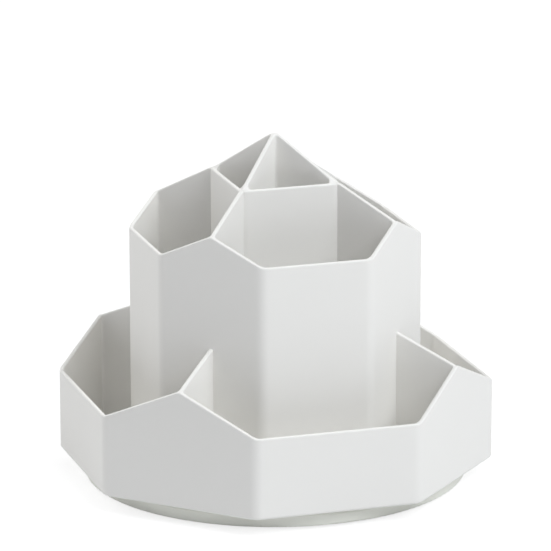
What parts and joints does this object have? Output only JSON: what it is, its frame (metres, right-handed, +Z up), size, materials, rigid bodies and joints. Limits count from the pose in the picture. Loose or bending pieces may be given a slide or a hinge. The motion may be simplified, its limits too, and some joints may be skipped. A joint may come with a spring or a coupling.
{
  "type": "rotating desk organizer",
  "caption": "Octagonal desk organizer that turns on a round base: a low ring tray, a tall divided tower in it and a square pen cup in the middle, with peaked rims.",
  "frame": {"origin": "on the turning axis, at the desk that the pads stand on", "axes": "+Z up along the turning axis; the tray's low flat faces look along +X, -X, +Y and -Y"},
  "size_m": [0.166, 0.166, 0.1429],
  "materials": {
    "shell": "fine satin, moulded",
    "base_shell": "fine satin, moulded",
    "screws": "zinc plated",
    "races": "pressed sheet",
    "balls": "polished",
    "cage": "natural nylon",
    "bush": "smooth acetal",
    "insert": "turned",
    "pads": "soft, matt"
  },
  "bodies": {
    "base": {"base_disc": "base_shell", "lower_race": "races", "pivot_bush": "bush", "foot_pad_1": "pads", "foot_pad_2": "pads", "foot_pad_3": "pads", "foot_pad_4": "pads", "foot_pad_5": "pads", "foot_pad_6": "pads"},
    "organizer": {"outer_tray": "shell", "middle_tower": "shell", "core_cup": "shell", "tower_screws": "screws", "core_screws": "screws", "upper_race": "races", "pivot_screw": "screws", "pivot_washer": "races", "pivot_insert": "insert"},
    "ball_set": {"ball_cage": "cage", "bearing_balls": "balls"}
  },
  "joints": [
    {"name": "organizer_spin", "type": "hinge", "parent": "base", "child": "organizer", "pos_m": [0, 0, 0], "axis": [0, 0, 1], "continuous": true},
    {"name": "ball_set_spin", "type": "hinge", "parent": "base", "child": "ball_set", "pos_m": [0, 0, 0], "axis": [0, 0, 1], "continuous": true}
  ],
  "couplings": [
    {"joint": "ball_set_spin", "follows": "organizer_spin", "ratio": 0.5}
  ]
}
